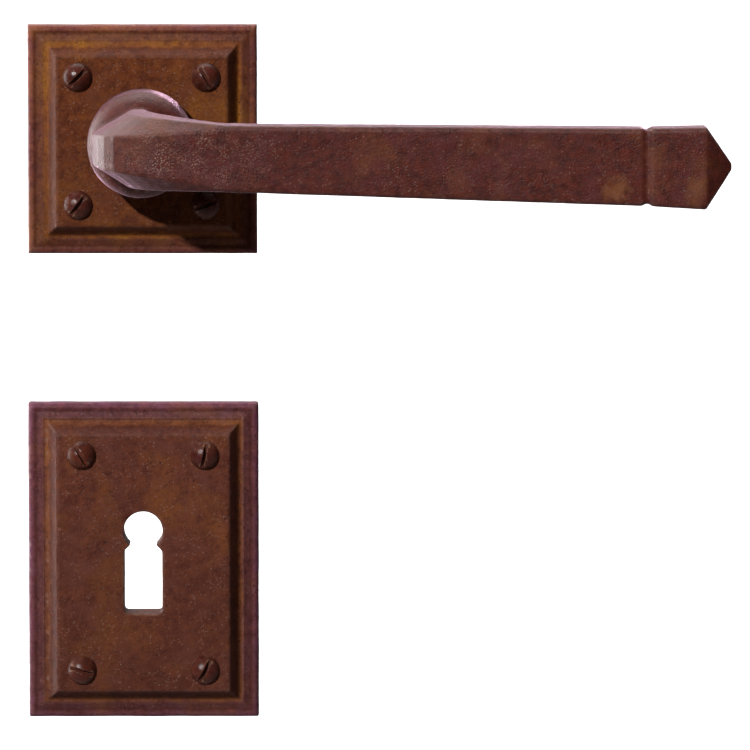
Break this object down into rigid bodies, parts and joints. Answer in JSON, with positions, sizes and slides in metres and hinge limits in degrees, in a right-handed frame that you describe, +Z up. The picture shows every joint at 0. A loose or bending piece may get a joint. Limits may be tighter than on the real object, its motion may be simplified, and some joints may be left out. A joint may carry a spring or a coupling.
{
  "type": "door lever handle",
  "caption": "Rustic cast iron door lever with a pointed tip on a square moulded rose, spring-returned, with a separate rectangular keyhole escutcheon below.",
  "frame": {"origin": "on the spindle axis, in the plane of the door's face, which is the back of the rose", "axes": "+X along the lever to its tip, +Y into the door along the spindle, +Z up"},
  "size_m": [0.1637, 0.1325, 0.164],
  "materials": {
    "rose_iron": "rust-brown waxed casting, fine grain",
    "escutcheon_iron": "rust-brown waxed casting, fine grain",
    "screw_iron": "dark waxed steel wood screws",
    "lever_iron": "dark red-brown waxed casting, rust near the tip",
    "bush_brass": "plain turned brass",
    "pin_steel": "hardened steel dowels",
    "zinc_sheet": "zinc-plated sheet",
    "zinc_screw": "zinc-plated",
    "spring_steel": "oiled spring steel",
    "collar_steel": "machined steel",
    "spindle_steel": "bright drawn steel",
    "grub_steel": "black oxide"
  },
  "bodies": {
    "door_side": {"rose_plate": "rose_iron", "escutcheon_plate": "escutcheon_iron", "rose_screws": "screw_iron", "escutcheon_screws": "screw_iron", "neck_bush": "bush_brass", "stop_pins": "pin_steel", "spring_cover": "zinc_sheet", "cover_screws": "zinc_screw", "return_spring": "spring_steel"},
    "lever": {"lever_handle": "lever_iron", "thrust_washer": "bush_brass", "drive_collar": "collar_steel", "drive_pin": "pin_steel", "wave_washer": "spring_steel", "retaining_ring": "spring_steel", "spindle": "spindle_steel", "spindle_grub_screw": "grub_steel"}
  },
  "joints": [
    {"name": "lever_turn", "type": "hinge", "parent": "door_side", "child": "lever", "pos_m": [0, 0, 0], "axis": [0, 1, 0], "range_deg": [0, 40], "stiffness_Nm_per_rad": 0.24, "springref_deg": -60.16, "deforming": ["return_spring"]}
  ]
}
